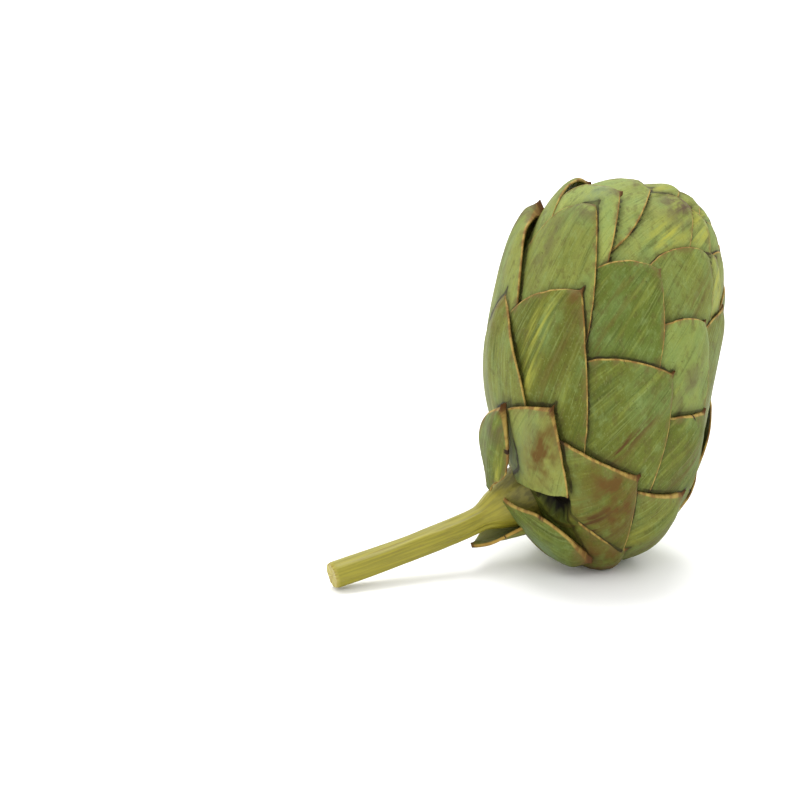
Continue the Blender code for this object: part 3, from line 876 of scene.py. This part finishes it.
def stem_skin():
    s = Shader("stem_skin")
    share, angle, cut = s.attribute("stem_share"), s.attribute("stem_angle"), s.attribute("cut")
    length = s.calculate("MULTIPLY", share, 90)
    x = s.calculate("MULTIPLY", s.calculate("SINE", angle), 6)
    y = s.calculate("MULTIPLY", s.calculate("COSINE", angle), 6)
    fibres = s.noise(s.vector(x, y, s.calculate("MULTIPLY", length, 0.05)), 4)
    cloud = s.noise(s.vector(x, y, s.calculate("MULTIPLY", length, 0.2)), 3)
    colour = s.mix(s.ramp(fibres, 0.3, 0.7), srgb(148, 140, 24), srgb(178, 168, 35))
    browned = s.calculate("MULTIPLY", s.ramp(cloud, 0.52, 0.72), 0.4)
    colour = s.mix(browned, colour, srgb(140, 118, 40))
    neck = s.mix(s.ramp(cloud, 0.4, 0.6), srgb(120, 112, 32), srgb(150, 142, 48))
    colour = s.mix(s.ramp(share, 0.66, 0.86), colour, neck)
    pith = s.mix(s.ramp(fibres, 0.4, 0.6), srgb(214, 204, 97), srgb(176, 150, 59))
    colour = s.mix(cut, colour, pith)
    s.give(s.surface.inputs["Base Color"], colour)
    s.surface.inputs["Roughness"].default_value = 0.55
    s.bump(fibres, 0.2 * MM, 0.6)
    return s.material


# ---- stage --------------------------------------------------------------------------------

def make_floor():
    mesh = bpy.data.meshes.new("floor")
    size = FLOOR_HALF_SIZE
    corners = [(-size, -size, 0), (size, -size, 0), (size, size, 0), (-size, size, 0)]
    mesh.from_pydata(corners, [], [(0, 1, 2, 3)])
    floor = bpy.data.objects.new("floor", mesh)
    bpy.context.scene.collection.objects.link(floor)
    s = Shader("floor_white")
    s.surface.inputs["Base Color"].default_value = (0.92, 0.92, 0.92, 1)
    s.surface.inputs["Roughness"].default_value = 0.6
    mesh.materials.append(s.material)


def add_sun(name, toward, strength, softness):
    light = bpy.data.lights.new(name, "SUN")
    light.energy = strength
    light.angle = math.radians(softness)
    lamp = bpy.data.objects.new(name, light)
    lamp.rotation_euler = Vector(toward).to_track_quat("Z", "Y").to_euler()
    bpy.context.scene.collection.objects.link(lamp)


def make_lights():
    world = bpy.data.worlds.new("studio")
    bpy.context.scene.world = world
    world.use_nodes = True
    background = world.node_tree.nodes["Background"]
    background.inputs["Color"].default_value = (1, 1, 1, 1)
    background.inputs["Strength"].default_value = WORLD_STRENGTH
    add_sun("top", (0.1, 0.4, 1.0), 2.2, 40)
    add_sun("front", (-0.6, -0.8, 0.8), 0.3, 60)


def make_camera():
    """Looks from the photo's angle, with the artichoke at the same place in the frame."""
    level = Vector((math.cos(VIEW_AZIMUTH), math.sin(VIEW_AZIMUTH), 0))
    aim = HEAD_CENTRE - level * AIM_LEFT - Vector((0, 0, AIM_DOWN))
    flat = math.cos(VIEW_ELEVATION)
    back = Vector((
        math.sin(VIEW_AZIMUTH) * flat, -math.cos(VIEW_AZIMUTH) * flat, math.sin(VIEW_ELEVATION)
    ))
    right = AIM_RIGHT_IN_FRAME * SENSOR / LENS
    up = AIM_UP_IN_FRAME * SENSOR / LENS
    reach = math.sqrt(1 + right**2 + up**2)
    pitch = math.asin(-back.z * reach / math.hypot(1, up)) - math.atan(up)
    yaw = math.atan2(right, math.cos(pitch) - up * math.sin(pitch))
    data = bpy.data.cameras.new("camera")
    data.lens = LENS
    data.sensor_width = SENSOR
    data.clip_start = 0.01
    data.clip_end = 20
    camera = bpy.data.objects.new("camera", data)
    camera.location = aim + back * VIEW_DISTANCE
    camera.rotation_euler = (math.pi / 2 + pitch, 0, VIEW_AZIMUTH + yaw)
    bpy.context.scene.collection.objects.link(camera)
    bpy.context.scene.camera = camera
    bpy.context.scene.view_settings.view_transform = "Standard"


# ---- the scene ----------------------------------------------------------------------------

bracts, stalk = bract_skin(), stem_skin()
make_bracts(bracts)
make_sheath(bracts)
make_core(heart_painted_shade())
make_stalk("stalk", 0.0, 120, lambda share, angle: stem_radius(angle), 8, "stem", stalk)
make_stalk("neck", NECK_STARTS, 60, neck_radius, 0, "flower_head", stalk)
make_floor()
make_lights()
make_camera()
